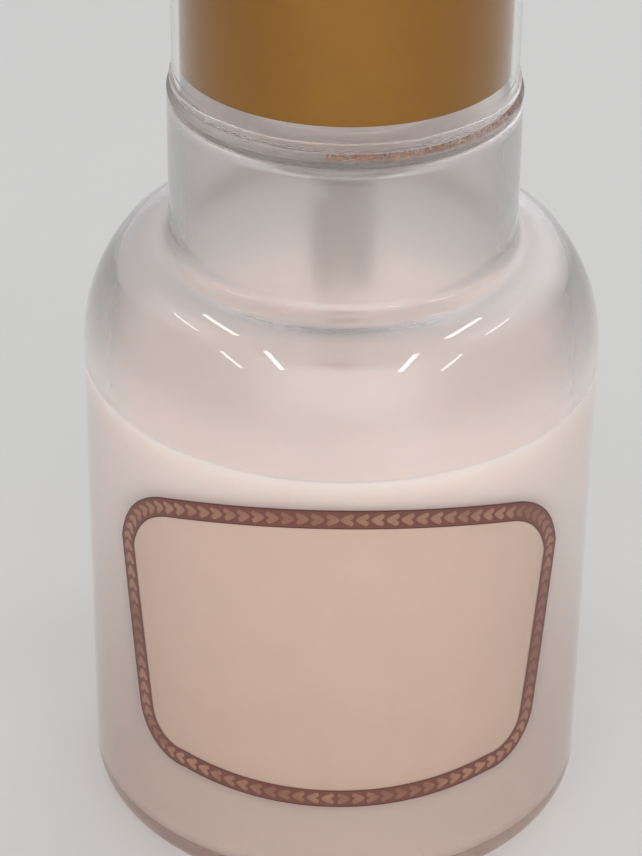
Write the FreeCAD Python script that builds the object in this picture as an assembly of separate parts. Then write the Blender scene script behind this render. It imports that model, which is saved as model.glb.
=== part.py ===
"""Clear round pump bottle of milky essence, with a gold-collared pump under a clear overcap.

Millimetres, +Z up, origin on the axis at the level of the base ring. The label faces -Y.
"""
import FreeCAD, Part
import math
import os

# Bottle body, shoulder and wide neck
body_diameter = 65.0
body_wall = 2.6
base_thickness = 3.0
heel_radius = 4.4
inner_heel_radius = 2.6
push_up_diameter = 46.0
push_up_depth = 1.5
shoulder_height = 66.2
shoulder_rise = 15.0
shoulder_roundness = 0.72
neck_diameter = 43.2
neck_wall = 2.2
neck_fillet = 1.0
neck_height = 101.4
lip_radius = 0.8
deck_thickness = 2.4
deck_fillet = 1.5

# Threaded finish on the deck of the neck
finish_margin = 5.05
finish_wall = 2.2
finish_height = 16.6
finish_chamfer = 0.5
thread_depth = 1.1
thread_pitch = 4.0
thread_turns = 1.25
thread_root_width = 2.2
thread_crest_width = 1.2
thread_drop = 3.0
thread_sink = 0.5

# Essence in the bottle
fill_height = 62.9
fill_clearance = 0.05
tube_clearance = 0.3

# Labels, measured on the flat film
label_film = 0.1
adhesive_film = 0.03
label_base_height = 15.8
label_top_height = 60.3
label_half_width = 31.9
label_side_top = 47.2
label_side_base = 23.6
label_side_lean = 3.2
label_top_corner = 8.9
label_top_sag = 3.5
label_base_corner = 8.2
label_base_sag = 1.2
back_label_width = 46.0
back_label_base_height = 20.0
back_label_top_height = 54.0
back_label_corner = 4.0

# Closure and its gold sleeve
collar_diameter = 39.9
sleeve_wall = 0.5
sleeve_lift = 3.0
sleeve_round = 1.6
closure_skirt = 1.6
closure_roof = 2.4
closure_foot = 1.4
closure_foot_lift = 0.2
closure_thread_gap = 0.4
closure_crest_gap = 0.3
closure_flank_gap = 0.15
closure_root_width = 2.0
closure_crest_width = 1.0

# Clear overcap
overcap_wall = 0.95
overcap_roof = 1.4
overcap_headroom = 2.2
overcap_round = 3.0
overcap_grip = 0.05
rim_height = 0.9
rim_step = 0.3
rim_round = 0.3
seam_gap = 0.12

# Pump engine
pump_bore = 11.2
housing_wall = 1.8
gasket_thickness = 1.0
flange_thickness = 1.5
flange_inset = 0.7
plug_depth = 6.0
plug_wall = 0.95
stroke = 6.0
floor_clearance = 1.35
floor_cone = 2.5
ball_diameter = 4.0
ball_play = 0.6
ball_lift = 0.8
ball_gap = 0.03
cage_rib_count = 3
cage_rib_width = 0.9
cage_rib_height = 1.0
inlet_bore = 2.6
inlet_web = 0.8
socket_depth = 12.4
socket_wall = 1.45
tube_diameter = 5.0
tube_wall = 0.75
tube_end_gap = 1.5
tube_bevel = 2.0
piston_length = 7.4
piston_travel = 0.6
piston_waist = 0.7
stem_diameter = 7.2
stem_bore = 3.4
stem_flange_width = 1.0
stem_flange_thickness = 1.8
stem_port = 1.4
plug_head_overhang = 1.3
plug_head_thickness = 1.5
plug_spigot = 3.5
turret_diameter = 16.4
turret_wall = 1.4
turret_rise = 5.5
turret_clearance = 0.4
pocket_depth = 1.5
seal_thickness = 1.2
seal_width = 0.85
spring_wire = 0.9
spring_diameter = 10.4
spring_turns = 6.5

# Actuator, its gold shell and its nozzle
actuator_diameter = 21.2
actuator_roof = 8.0
actuator_clearance = 0.35
press_gap = 1.4
stem_engagement = 3.0
boss_wall = 0.75
boss_length = 7.0
shell_wall = 0.5
shell_round = 1.6
shell_lift = 0.6
spout_diameter = 6.0
spout_rise = 3.6
spout_bore = 2.2
nozzle_gap = 1.6
nozzle_lip = 0.8
nozzle_lip_diameter = 5.4
nozzle_seat_diameter = 4.4
nozzle_seat_depth = 3.0
nozzle_bore = 1.8

# Fits
running_clearance = 0.05
press_clearance = 0.03
assembly_gap = 0.1

# Radii and levels that follow from the driving sizes
body_radius = body_diameter / 2
neck_radius = neck_diameter / 2
collar_radius = collar_diameter / 2
finish_radius = collar_radius - finish_margin
finish_bore_radius = finish_radius - finish_wall
thread_crest_radius = finish_radius + thread_depth
overcap_inner_radius = collar_radius + overcap_grip
overcap_radius = overcap_inner_radius + overcap_wall
bore_radius = pump_bore / 2
housing_radius = bore_radius + housing_wall
stem_radius = stem_diameter / 2
turret_radius = turret_diameter / 2
tube_radius = tube_diameter / 2
spring_radius = spring_diameter / 2
wire_radius = spring_wire / 2
ball_radius = ball_diameter / 2
actuator_radius = actuator_diameter / 2
spout_radius = spout_diameter / 2

finish_top = neck_height + finish_height
thread_start = finish_top - thread_drop - thread_pitch * thread_turns
flange_radius = thread_crest_radius - flange_inset
gasket_inner = (housing_radius + finish_bore_radius) / 2 + 4 * assembly_gap
seal_inner = stem_radius + running_clearance
gasket_top = finish_top + gasket_thickness
flange_top = gasket_top + flange_thickness
closure_under = flange_top + assembly_gap
closure_top = closure_under + closure_roof
sleeve_base = neck_height + sleeve_lift
sleeve_top = closure_top + running_clearance + sleeve_wall
turret_top = sleeve_top + turret_rise
pocket_floor = flange_top - pocket_depth
plug_base = flange_top - plug_depth
stem_flange_top = plug_base - 2 * assembly_gap
stem_flange_base = stem_flange_top - stem_flange_thickness
piston_top = stem_flange_base - piston_travel - assembly_gap
piston_base = piston_top - piston_length
plug_head_top = piston_base - running_clearance
plug_head_base = plug_head_top - plug_head_thickness
bore_floor = plug_head_base - stroke - floor_clearance
ball_chamber_radius = ball_radius + ball_play
cage_top = bore_floor - floor_cone
inlet_radius = inlet_bore / 2
seat_contact = ball_radius * math.sqrt(0.5)
ball_centre = cage_top - cage_rib_height - ball_lift - ball_radius - ball_gap
seat_base = ball_centre - ball_gap - 2 * seat_contact + inlet_radius
seat_top = seat_base + ball_chamber_radius - inlet_radius
socket_top = seat_base - inlet_web
socket_base = socket_top - socket_depth
socket_radius = tube_radius + socket_wall
actuator_base = sleeve_top + stroke + press_gap
spring_seat = turret_top + stroke + 2 * boss_wall
actuator_top = spring_seat + actuator_roof
stem_top = spring_seat + stem_engagement
spout_height = spring_seat + spout_rise
shell_top = actuator_top + running_clearance + shell_wall
overcap_base = neck_height + seam_gap
overcap_top = shell_top + overcap_headroom + overcap_roof
nozzle_end = overcap_inner_radius - nozzle_gap
spout_end = nozzle_end - nozzle_lip


def point(r, z):
    """Point of a profile, at distance r from the axis and height z."""
    return FreeCAD.Vector(r, 0, z)


def round_to(centre, radius, start, end):
    """Arc step of an outline about centre, from one angle to another in degrees."""
    middle = math.radians((start + end) / 2)
    last = math.radians(end)
    r, z = centre
    return (
        (r + radius * math.cos(middle), z + radius * math.sin(middle)),
        (r + radius * math.cos(last), z + radius * math.sin(last)),
    )


def outline(start, *steps):
    """Closed wire in the XZ plane. A step is an end point, or a point on an arc and its end point."""
    edges = []
    here = point(*start)
    for step in steps + (start,):
        if isinstance(step[0], tuple):
            end = point(*step[1])
            edges.append(Part.Arc(here, point(*step[0]), end).toShape())
        else:
            end = point(*step)
            if end.distanceToPoint(here) > 1e-7:
                edges.append(Part.LineSegment(here, end).toShape())
        here = end
    return Part.Wire(edges)


def turned(start, *steps):
    """Solid of an outline turned about the bottle's axis."""
    face = Part.Face(outline(start, *steps))
    return face.revolve(FreeCAD.Vector(), FreeCAD.Vector(0, 0, 1), 360)


def tube(inner, outer, base, top):
    """Plain ring, or a rod where inner is zero."""
    return turned((inner, base), (outer, base), (outer, top), (inner, top))


def oval_quarter(centre, across, up):
    """Two arc steps from the side of an oval to its crown, tangent to each other."""
    r, z = centre
    crown = shoulder_roundness * across
    flank = (across**2 + up**2 - 2 * up * crown) / (2 * (across - crown))
    lean = math.degrees(math.atan2(up - crown, flank - across))
    return (
        round_to((r + across - flank, z), flank, 0, lean),
        round_to((r, z + up - crown), crown, lean, 90),
    )


def reversed_steps(start, steps):
    """The same arc steps walked from the last end back to start."""
    ends = [start] + [step[1] for step in steps]
    return [(step[0], ends[i]) for i, step in reversed(list(enumerate(steps)))]


def thread(radius, depth, sink, root_width, crest_width, start):
    """Helical ridge of thread_turns, standing out from radius by depth, or in where depth is negative."""
    half_root = root_width / 2
    half_crest = crest_width / 2
    inside = radius - math.copysign(sink, depth)
    section = outline(
        (inside, -half_root),
        (radius, -half_root),
        (radius + depth, -half_crest),
        (radius + depth, half_crest),
        (radius, half_root),
        (inside, half_root),
    )
    path = Part.makeHelix(thread_pitch, thread_pitch * thread_turns, radius)
    shell = Part.BRepOffsetAPI.MakePipeShell(Part.Wire(path.Edges))
    shell.setFrenetMode(True)
    shell.add(section)
    shell.build()
    shell.makeSolid()
    ridge = shell.shape()
    ridge.translate(FreeCAD.Vector(0, 0, start))
    return ridge


def cavity(inset):
    """Outline steps of the bottle's inside, from the axis at the deck down to the axis at the base."""
    radius = body_radius - body_wall - inset
    neck = neck_radius - neck_wall - inset
    bend = neck_fillet + body_wall + inset
    rise = shoulder_rise - body_wall - inset
    base = base_thickness + inset
    ceiling = neck_height - deck_thickness - inset
    corner = deck_fillet - inset
    heel = inner_heel_radius - inset
    crown = shoulder_height + rise
    shoulder = oval_quarter((neck + bend, shoulder_height), radius - neck - bend, rise)
    return [
        (neck - corner, ceiling),
        round_to((neck - corner, ceiling - corner), corner, 90, 0),
        (neck, crown + bend),
        round_to((neck + bend, crown + bend), bend, 180, 270),
        *reversed_steps((radius, shoulder_height), shoulder),
        (radius, base + heel),
        round_to((radius - heel, base + heel), heel, 0, -90),
        (0, base),
    ]


def make_bottle():
    """Thick clear bottle: body, shoulder, wide neck and the threaded finish on its deck."""
    push_up_radius = push_up_diameter / 2
    dome = (push_up_radius**2 + push_up_depth**2) / (2 * push_up_depth)
    half = push_up_radius / 2
    half_height = push_up_depth - dome + math.sqrt(dome**2 - half**2)
    across = body_radius - neck_radius - neck_fillet
    shoulder = oval_quarter((neck_radius + neck_fillet, shoulder_height), across, shoulder_rise)
    crown = shoulder_height + shoulder_rise
    bottle = turned(
        (0, push_up_depth),
        ((half, half_height), (push_up_radius, 0)),
        (body_radius - heel_radius, 0),
        round_to((body_radius - heel_radius, heel_radius), heel_radius, -90, 0),
        (body_radius, shoulder_height),
        *shoulder,
        round_to((neck_radius + neck_fillet, crown + neck_fillet), neck_fillet, 270, 180),
        (neck_radius, neck_height - lip_radius),
        round_to((neck_radius - lip_radius, neck_height - lip_radius), lip_radius, 0, 90),
        (finish_radius, neck_height),
        (finish_radius, finish_top - finish_chamfer),
        (finish_radius - finish_chamfer, finish_top),
        (finish_bore_radius, finish_top),
        (finish_bore_radius, neck_height - deck_thickness),
        *cavity(0),
    )
    ridge = thread(
        finish_radius, thread_depth, thread_sink, thread_root_width, thread_crest_width, thread_start
    )
    return bottle.fuse(ridge).removeSplitter()


def make_essence():
    """Essence in the bottle up to its level, with the hole that the dip tube stands in."""
    ceiling = neck_height - deck_thickness - fill_clearance
    contents = turned((0, ceiling), *cavity(fill_clearance))
    hole = tube(0, tube_radius + tube_clearance, base_thickness, ceiling)
    level = tube(0, body_radius, 0, fill_height)
    return contents.common(level).cut(hole)


def on_film(along, z):
    """Point of a label's outline, with the distance along the film bent round the body."""
    return (body_radius * math.sin(along / body_radius), z)


def front_label_outline():
    """Arched top, sides that lean in and a rounded foot."""
    top = label_half_width - label_top_corner
    foot = label_half_width - label_side_lean
    base = foot - label_base_corner
    shoulder = label_top_height - label_top_sag
    heel = label_base_height + label_base_sag
    bend = math.sqrt(0.5)
    top_via = (top + label_top_corner * 0.69, label_side_top + (shoulder - label_side_top) * 0.6)
    base_via = (base + label_base_corner * bend, label_side_base - (label_side_base - heel) * bend)
    right = [(top, shoulder), top_via, (label_half_width, label_side_top)]
    right += [(foot, label_side_base), base_via, (base, heel)]
    left = [(-along, z) for along, z in right]
    right = [on_film(*place) for place in right]
    left = [on_film(*place) for place in left]
    return outline(
        right[0],
        (right[1], right[2]),
        right[3],
        (right[4], right[5]),
        ((0, label_base_height), left[5]),
        (left[4], left[3]),
        left[2],
        (left[1], left[0]),
        ((0, label_top_height), right[0]),
    )


def back_label_outline():
    """Plain rounded rectangle."""
    half = on_film(back_label_width / 2, 0)[0]
    corner = back_label_corner
    base = back_label_base_height
    top = back_label_top_height
    return outline(
        (half, base + corner),
        (half, top - corner),
        round_to((half - corner, top - corner), corner, 0, 90),
        (corner - half, top),
        round_to((corner - half, top - corner), corner, 90, 180),
        (-half, base + corner),
        round_to((corner - half, base + corner), corner, 180, 270),
        (half - corner, base),
        round_to((half - corner, base + corner), corner, 270, 360),
    )


def make_label(edge, side):
    """Thin film on the body inside an outline, on the side of +Y or -Y."""
    inner = body_radius + adhesive_film
    film = tube(inner, inner + label_film, 0, shoulder_height)
    reach = FreeCAD.Vector(0, side * body_diameter, 0)
    return film.common(Part.Face(edge).extrude(reach))


def make_overcap():
    """Clear cup that grips the gold sleeve and stands on the neck with a small beaded rim."""
    rim = overcap_radius + rim_step
    inner_round = overcap_round - overcap_wall
    roof_under = overcap_top - overcap_roof
    return turned(
        (overcap_inner_radius, overcap_base),
        (rim - rim_round, overcap_base),
        round_to((rim - rim_round, overcap_base + rim_round), rim_round, -90, 0),
        (rim, overcap_base + rim_height),
        round_to((overcap_radius, overcap_base + rim_height), rim_step, 0, 90),
        (overcap_radius, overcap_top - overcap_round),
        round_to((overcap_radius - overcap_round, overcap_top - overcap_round), overcap_round, 0, 90),
        (0, overcap_top),
        (0, roof_under),
        (overcap_inner_radius - inner_round, roof_under),
        round_to((overcap_inner_radius - inner_round, roof_under - inner_round), inner_round, 90, 0),
    )


def make_sleeve():
    """Thin gold sleeve over the closure, turned in over its roof."""
    inner = collar_radius - sleeve_wall
    hole = turret_radius + 2 * turret_clearance
    inner_round = sleeve_round - sleeve_wall
    under = sleeve_top - sleeve_wall
    return turned(
        (inner, sleeve_base),
        (collar_radius, sleeve_base),
        (collar_radius, sleeve_top - sleeve_round),
        round_to((collar_radius - sleeve_round, sleeve_top - sleeve_round), sleeve_round, 0, 90),
        (hole, sleeve_top),
        (hole, under),
        (inner - inner_round, under),
        round_to((inner - inner_round, under - inner_round), inner_round, 90, 0),
    )


def make_closure():
    """Screw closure inside the sleeve: threaded skirt, roof over the pump's flange and a foot."""
    outer = collar_radius - sleeve_wall - running_clearance
    root = thread_crest_radius + closure_thread_gap
    skirt = root + closure_skirt
    base = sleeve_base + closure_foot_lift
    crown = sleeve_round - sleeve_wall
    hole = turret_radius + turret_clearance
    closure = turned(
        (root, base),
        (outer, base),
        (outer, base + closure_foot),
        (skirt, base + closure_foot),
        (skirt, closure_under - closure_skirt),
        (outer, closure_under - closure_skirt),
        (outer, closure_top - crown),
        round_to((outer - crown, closure_top - crown), crown, 0, 90),
        (hole, closure_top),
        (hole, closure_under),
        (root, closure_under),
    )
    depth = root - finish_radius - closure_crest_gap
    mesh = (thread_root_width + closure_crest_width) / 2 + closure_flank_gap
    ridge = thread(
        root, -depth, thread_sink, closure_root_width, closure_crest_width, thread_start - mesh
    )
    return closure.fuse(ridge).removeSplitter()


def make_housing():
    """Pump cylinder hung from its flange, with the ball's cage and the dip tube's socket below."""
    counterbore = bore_radius + plug_wall + press_clearance
    housing = turned(
        (counterbore, flange_top),
        (flange_radius, flange_top),
        (flange_radius, gasket_top),
        (housing_radius, gasket_top),
        (housing_radius, bore_floor),
        (socket_radius, cage_top - cage_rib_height),
        (socket_radius, socket_base),
        (tube_radius + press_clearance, socket_base),
        (tube_radius + press_clearance, socket_top),
        (inlet_radius, socket_top),
        (inlet_radius, seat_base),
        (ball_chamber_radius, seat_top),
        (ball_chamber_radius, cage_top),
        (bore_radius, bore_floor),
        (bore_radius, plug_base),
        (counterbore, plug_base),
    )
    rib_reach = ball_play + ball_radius / 2
    for i in range(cage_rib_count):
        rib = Part.makeBox(
            rib_reach,
            cage_rib_width,
            cage_rib_height,
            FreeCAD.Vector(ball_chamber_radius - rib_reach + thread_sink, -cage_rib_width / 2, 0),
        )
        rib.translate(FreeCAD.Vector(0, 0, cage_top - cage_rib_height))
        rib.rotate(FreeCAD.Vector(), FreeCAD.Vector(0, 0, 1), i * 360 / cage_rib_count)
        housing = housing.fuse(rib)
    return housing.removeSplitter()


def make_turret():
    """Guide of the stem: plugged into the housing, with the spring's pocket on top."""
    guide = stem_radius + running_clearance
    return turned(
        (guide, plug_base),
        (bore_radius + plug_wall, plug_base),
        (bore_radius + plug_wall, flange_top),
        (turret_radius, flange_top),
        (turret_radius, turret_top),
        (turret_radius - turret_wall, turret_top),
        (turret_radius - turret_wall, pocket_floor),
        (guide, pocket_floor),
    )


def make_stem():
    """Hollow stem with a stop flange and two ports above the plug."""
    flange = stem_radius + stem_flange_width
    stem = turned(
        (stem_bore / 2, plug_head_top),
        (stem_radius, plug_head_top),
        (stem_radius, stem_flange_base),
        (flange, stem_flange_base),
        (flange, stem_flange_top),
        (stem_radius, stem_flange_top),
        (stem_radius, stem_top),
        (stem_bore / 2, stem_top),
    )
    port_height = plug_head_top + plug_spigot + stem_port
    ports = Part.makeCylinder(
        stem_port / 2,
        2 * stem_diameter,
        FreeCAD.Vector(-stem_diameter, 0, port_height),
        FreeCAD.Vector(1, 0, 0),
    )
    return stem.cut(ports)


def make_stem_plug():
    """Plug in the foot of the stem, whose head the piston seals on."""
    head = stem_radius + plug_head_overhang
    spigot = stem_bore / 2 - press_clearance
    return turned(
        (0, plug_head_base),
        (head, plug_head_base),
        (head, plug_head_top),
        (spigot, plug_head_top),
        (spigot, plug_head_top + plug_spigot),
        (0, plug_head_top + plug_spigot),
    )


def make_piston():
    """Ring that slides in the bore and a little on the stem, with a lip at each end."""
    inner = stem_radius + running_clearance
    outer = bore_radius - running_clearance
    waist = outer - piston_waist
    lip = piston_length / 4
    return turned(
        (inner, piston_base),
        (outer, piston_base),
        (outer, piston_base + lip),
        (waist, piston_base + lip + piston_waist),
        (waist, piston_top - lip - piston_waist),
        (outer, piston_top - lip),
        (outer, piston_top),
        (inner, piston_top),
    )


def arc_from(start, heading, end):
    """Arc that leaves start along heading and reaches end."""
    chord = end - start
    along = FreeCAD.Vector(chord).normalize()
    angle = heading.getAngle(along)
    side = (heading - along * heading.dot(along)).normalize()
    via = start + chord * 0.5 + side * (chord.Length / 2 * math.tan(angle / 2))
    return Part.Arc(start, via, end).toShape()


def make_spring():
    """Return spring: one wire wound on quarter turns of two arcs each. Prints its least gap."""
    lower = pocket_floor + wire_radius + press_clearance
    upper = spring_seat - wire_radius - press_clearance
    rate = (upper - lower) / (2 * math.pi * spring_turns)
    quarters = round(4 * spring_turns)

    def place(turn):
        spot = FreeCAD.Vector(math.cos(turn), math.sin(turn), 0) * spring_radius
        return spot + FreeCAD.Vector(0, 0, lower + rate * turn)

    def heading(turn):
        sideways = FreeCAD.Vector(-math.sin(turn), math.cos(turn), 0) * spring_radius
        return (sideways + FreeCAD.Vector(0, 0, rate)).normalize()

    edges = []
    for i in range(quarters):
        first = i * math.pi / 2
        last = first + math.pi / 2
        leave = heading(first)
        arrive = heading(last)
        span = place(last) - place(first)
        squeeze = 2 * (leave.dot(arrive) - 1)
        pull = span.dot(leave + arrive)
        reach = (pull - math.sqrt(pull**2 - squeeze * span.Length**2)) / squeeze
        middle = (place(first) + leave * reach + place(last) - arrive * reach) * 0.5
        edges.append(arc_from(place(first), leave, middle))
        edges.append(arc_from(place(last), arrive * -1, middle))
    path = Part.Wire(Part.__sortEdges__(edges))
    ring = Part.Circle(place(0), heading(0), wire_radius).toShape()
    shell = Part.BRepOffsetAPI.MakePipeShell(path)
    shell.add(Part.Wire(ring))
    shell.build()
    shell.makeSolid()
    points = path.discretize(Number=40 * quarters)
    turn_apart = 40 * 3
    least = min(
        (points[j] - points[i]).Length
        for i in range(0, len(points), 4)
        for j in range(i + turn_apart, len(points), 4)
    )
    print("spring: least gap between turns %.2f mm" % (least - spring_wire))
    return shell.shape()


def make_dip_tube():
    """Straight tube from the housing's socket to just above the base, cut at a slant."""
    end = base_thickness + tube_end_gap
    straw = tube(tube_radius - tube_wall, tube_radius, end, socket_top - press_clearance)
    slant = outline(
        (-tube_diameter, end - tube_bevel),
        (tube_diameter, end - tube_bevel),
        (tube_diameter, end + 1.5 * tube_bevel),
        (-tube_diameter, end - 0.5 * tube_bevel),
    )
    wedge = Part.Face(slant).extrude(FreeCAD.Vector(0, 2 * tube_diameter, 0))
    wedge.translate(FreeCAD.Vector(0, -tube_diameter, 0))
    return straw.cut(wedge)


def rod_along_spout(radius, start, end):
    """Round rod on the spout's axis, which runs towards -X."""
    return Part.makeCylinder(
        radius, end - start, FreeCAD.Vector(-start, 0, spout_height), FreeCAD.Vector(-1, 0, 0)
    )


def make_actuator():
    """Head that is pressed: skirt over the turret, boss on the stem and the spout's channel."""
    skirt = turret_radius + actuator_clearance
    socket = stem_radius + running_clearance
    roof = stem_top + assembly_gap
    head = turned(
        (skirt, actuator_base),
        (actuator_radius, actuator_base),
        (actuator_radius, actuator_top - sleeve_round),
        round_to((actuator_radius - sleeve_round, actuator_top - sleeve_round), sleeve_round, 0, 90),
        (0, actuator_top),
        (0, roof),
        (socket, roof),
        (socket, spring_seat - boss_length),
        (socket + boss_wall, spring_seat - boss_length),
        (socket + boss_wall, spring_seat),
        (skirt, spring_seat),
    )
    spout = rod_along_spout(spout_radius, skirt, spout_end)
    channel = rod_along_spout(spout_bore / 2, 0, nozzle_end)
    seat = rod_along_spout(nozzle_seat_diameter / 2, spout_end - nozzle_seat_depth, nozzle_end)
    riser = tube(0, stem_bore / 2, stem_top, spout_height)
    return head.fuse(spout).removeSplitter().cut(channel).cut(seat).cut(riser)


def make_actuator_shell():
    """Thin gold cup over the actuator, slotted from below for the spout."""
    inner = actuator_radius + running_clearance
    outer = inner + shell_wall
    base = actuator_base + shell_lift
    inner_round = shell_round
    outer_round = shell_round + shell_wall
    under = shell_top - shell_wall
    cup = turned(
        (inner, base),
        (outer, base),
        (outer, shell_top - outer_round),
        round_to((outer - outer_round, shell_top - outer_round), outer_round, 0, 90),
        (0, shell_top),
        (0, under),
        (inner - inner_round, under),
        round_to((inner - inner_round, under - inner_round), inner_round, 90, 0),
    )
    half = spout_radius + assembly_gap
    slot = Part.makeBox(
        outer, 2 * half, spout_height - base, FreeCAD.Vector(-2 * outer + spout_radius, -half, base)
    )
    arch = rod_along_spout(half, outer - spout_radius, 2 * outer - spout_radius)
    return cup.cut(slot).cut(arch)


def make_nozzle():
    """Insert pressed into the end of the spout, with a lip round its mouth."""
    body = nozzle_seat_diameter / 2 - press_clearance
    insert = rod_along_spout(body, spout_end - nozzle_seat_depth + press_clearance, spout_end)
    lip = rod_along_spout(nozzle_lip_diameter / 2, spout_end + press_clearance, nozzle_end)
    neck = rod_along_spout(body, spout_end, nozzle_end)
    mouth = rod_along_spout(nozzle_bore / 2, 0, nozzle_end + nozzle_lip)
    return insert.fuse([neck, lip]).removeSplitter().cut(mouth)


nodes = {
    "bottle": make_bottle(),
    "essence_fill": make_essence(),
    "front_label": make_label(front_label_outline(), -1),
    "back_label": make_label(back_label_outline(), 1),
    "overcap": make_overcap(),
    "collar_sleeve": make_sleeve(),
    "closure": make_closure(),
    "gasket": tube(gasket_inner, flange_radius, finish_top, gasket_top),
    "pump_housing": make_housing(),
    "turret": make_turret(),
    "stem_seal": tube(seal_inner, seal_inner + seal_width, pocket_floor, pocket_floor + seal_thickness),
    "return_spring": make_spring(),
    "inlet_ball": Part.makeSphere(ball_radius, FreeCAD.Vector(0, 0, ball_centre)),
    "dip_tube": make_dip_tube(),
    "stem": make_stem(),
    "stem_plug": make_stem_plug(),
    "piston": make_piston(),
    "actuator": make_actuator(),
    "actuator_shell": make_actuator_shell(),
    "nozzle_insert": make_nozzle(),
}

os.makedirs("parts", exist_ok=True)
for name, shape in nodes.items():
    shape.exportStep("parts/%s.step" % name)
    print(name, "solids", len(shape.Solids), "valid", shape.isValid(), "volume %.1f" % shape.Volume)
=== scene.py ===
"""Looks of a clear pump bottle of milky body essence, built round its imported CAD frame."""

import math

import bmesh
import bpy
from bpy.props import FloatProperty, FloatVectorProperty, IntProperty, PointerProperty
from mathutils import Matrix, Vector


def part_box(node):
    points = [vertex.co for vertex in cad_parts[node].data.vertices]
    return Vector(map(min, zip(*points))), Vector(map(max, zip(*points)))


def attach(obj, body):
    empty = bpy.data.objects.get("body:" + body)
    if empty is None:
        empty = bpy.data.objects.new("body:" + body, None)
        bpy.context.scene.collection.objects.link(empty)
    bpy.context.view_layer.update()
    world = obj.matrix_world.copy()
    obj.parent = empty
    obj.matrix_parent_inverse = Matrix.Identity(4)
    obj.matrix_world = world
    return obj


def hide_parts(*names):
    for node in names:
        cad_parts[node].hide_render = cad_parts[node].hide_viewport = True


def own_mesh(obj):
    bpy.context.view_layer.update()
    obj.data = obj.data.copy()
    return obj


bl_info = {
    "name": "Pump bottle looks",
    "version": (1, 0, 0),
    "blender": (4, 5, 0),
    "location": "View3D > Sidebar > Pump bottle",
    "description": "Builds the clear bottle, its essence, labels, gold collar, overcap and stage",
    "category": "Object",
}

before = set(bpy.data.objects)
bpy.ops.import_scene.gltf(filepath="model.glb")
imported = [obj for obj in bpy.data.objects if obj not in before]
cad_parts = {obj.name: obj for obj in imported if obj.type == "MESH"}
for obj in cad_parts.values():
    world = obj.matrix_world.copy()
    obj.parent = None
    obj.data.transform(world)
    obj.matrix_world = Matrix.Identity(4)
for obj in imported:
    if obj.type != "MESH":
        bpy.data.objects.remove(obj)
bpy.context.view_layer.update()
MM = 0.001
ARC_STEP = 7.5
TOUCH = 0.01 * MM
FRONT = -math.pi / 2
MERGE = 1e-7
ARCH_POINTS = 48
CORNER_POINTS = 16
SIDE_POINTS = 24
FILM_STRIP = 1.0 * MM
SPRING_STEPS = 48
RESIDUE_STEPS = 72
BOTTLE_INDEX = 1.53
OVERCAP_INDEX = 1.28
FOOT_INDEX = 1.42
TUBE_INDEX = 1.22
FILM_INDEX = 1.45
CLEAR_SHADOW = (0.93, 0.93, 0.93)
CLOUDY_SHADOW = (0.70, 0.62, 0.59)
CLOUD_REACH = 10.0 * MM
# Height below which the essence takes its full painted shade.
FULL_SHADE_LEVEL = 12.0 * MM
FLOOR_RADIUS = 12.0
LIGHT_BOUNCES = 24
LAMP_AIM = (0.0, 0.0, 0.06)
CAMERA_LENS = 126.17
CAMERA_PLACE = (-2.409 * MM, -330.642 * MM, 253.806 * MM)
CAMERA_PITCH = math.radians(58.585)
CAMERA_ROLL = math.radians(0.703)
STRIP_HEIGHT = 0.85
STRIP_SPREAD = 0.55
STRIP_STEP = 0.80
STRIP_LENGTH = 0.40
STRIP_WIDTH = 0.05
STRIP_WATTS = 0.75


def low(node, axis):
    """Lowest place of a CAD node along an axis, in metres."""
    return round(float(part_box(node)[0][axis]), 6)


def high(node, axis):
    """Highest place of a CAD node along an axis, in metres."""
    return round(float(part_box(node)[1][axis]), 6)


def length(name, description, default):
    """Length property in metres."""
    return FloatProperty(
        name=name, description=description, default=default, min=0.0, precision=5, unit="LENGTH"
    )


def colour(name, description, default):
    """Linear colour property."""
    return FloatVectorProperty(
        name=name, description=description, default=default, size=3, min=0.0, max=1.0, subtype="COLOR"
    )


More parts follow.
